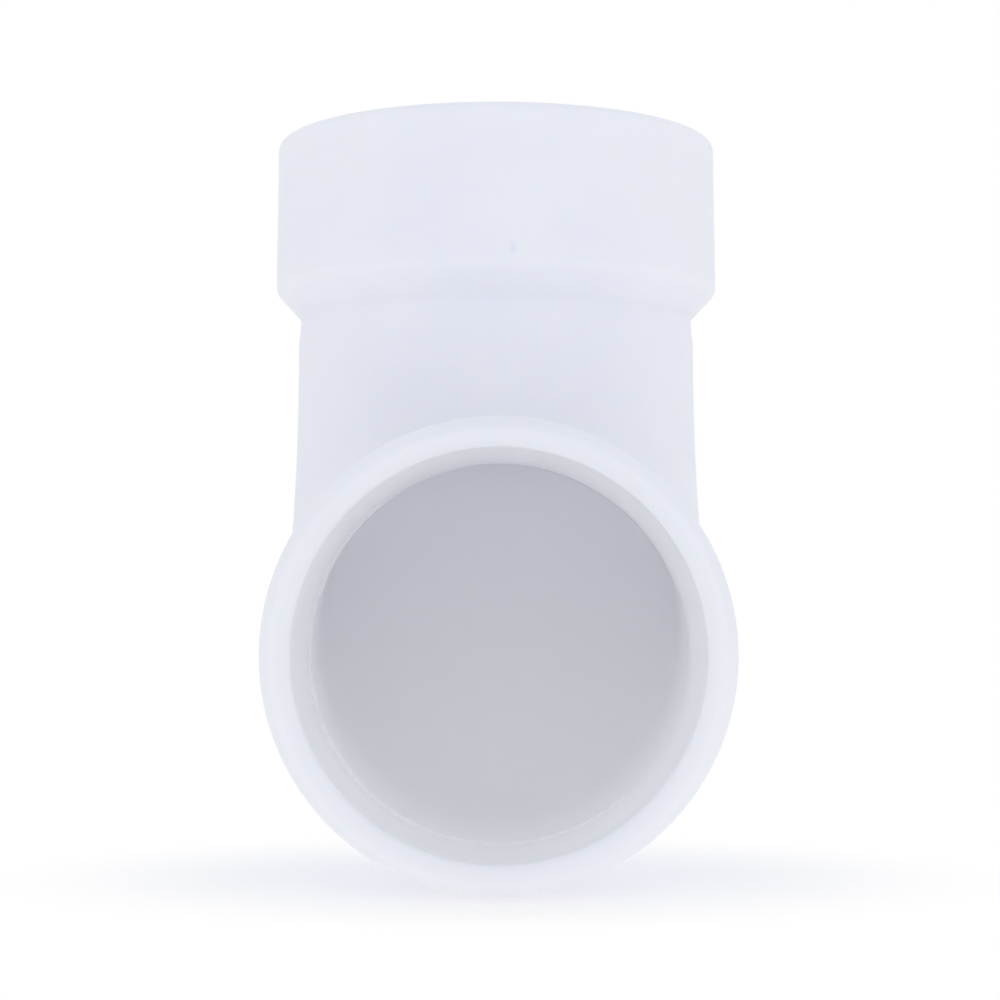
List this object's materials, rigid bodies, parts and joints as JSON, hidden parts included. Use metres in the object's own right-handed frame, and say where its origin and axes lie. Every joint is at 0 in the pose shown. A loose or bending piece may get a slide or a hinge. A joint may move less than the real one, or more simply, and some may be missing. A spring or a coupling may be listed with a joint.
{
  "type": "street elbow",
  "caption": "One-piece moulded plastic 90-degree street elbow: a bevelled spigot end that fits into another fitting's hub, a long quarter bend, and a socket hub that takes the pipe.",
  "frame": {"origin": "centre of the ring inside the hub where the pipe stops, on the hub's axis", "axes": "+Z is the hub's axis, out of the hub, the way the pipe leaves it. -Y is the spigot's axis, out of the fitting. X = 0 is the plane of symmetry that holds both axes."},
  "size_m": [0.0688, 0.1122, 0.1106],
  "materials": {
    "pvc": "bluish-white moulded PVC, even satin surface with a very faint mottle"
  },
  "bodies": {
    "root": {"elbow": "pvc"}
  },
  "joints": []
}
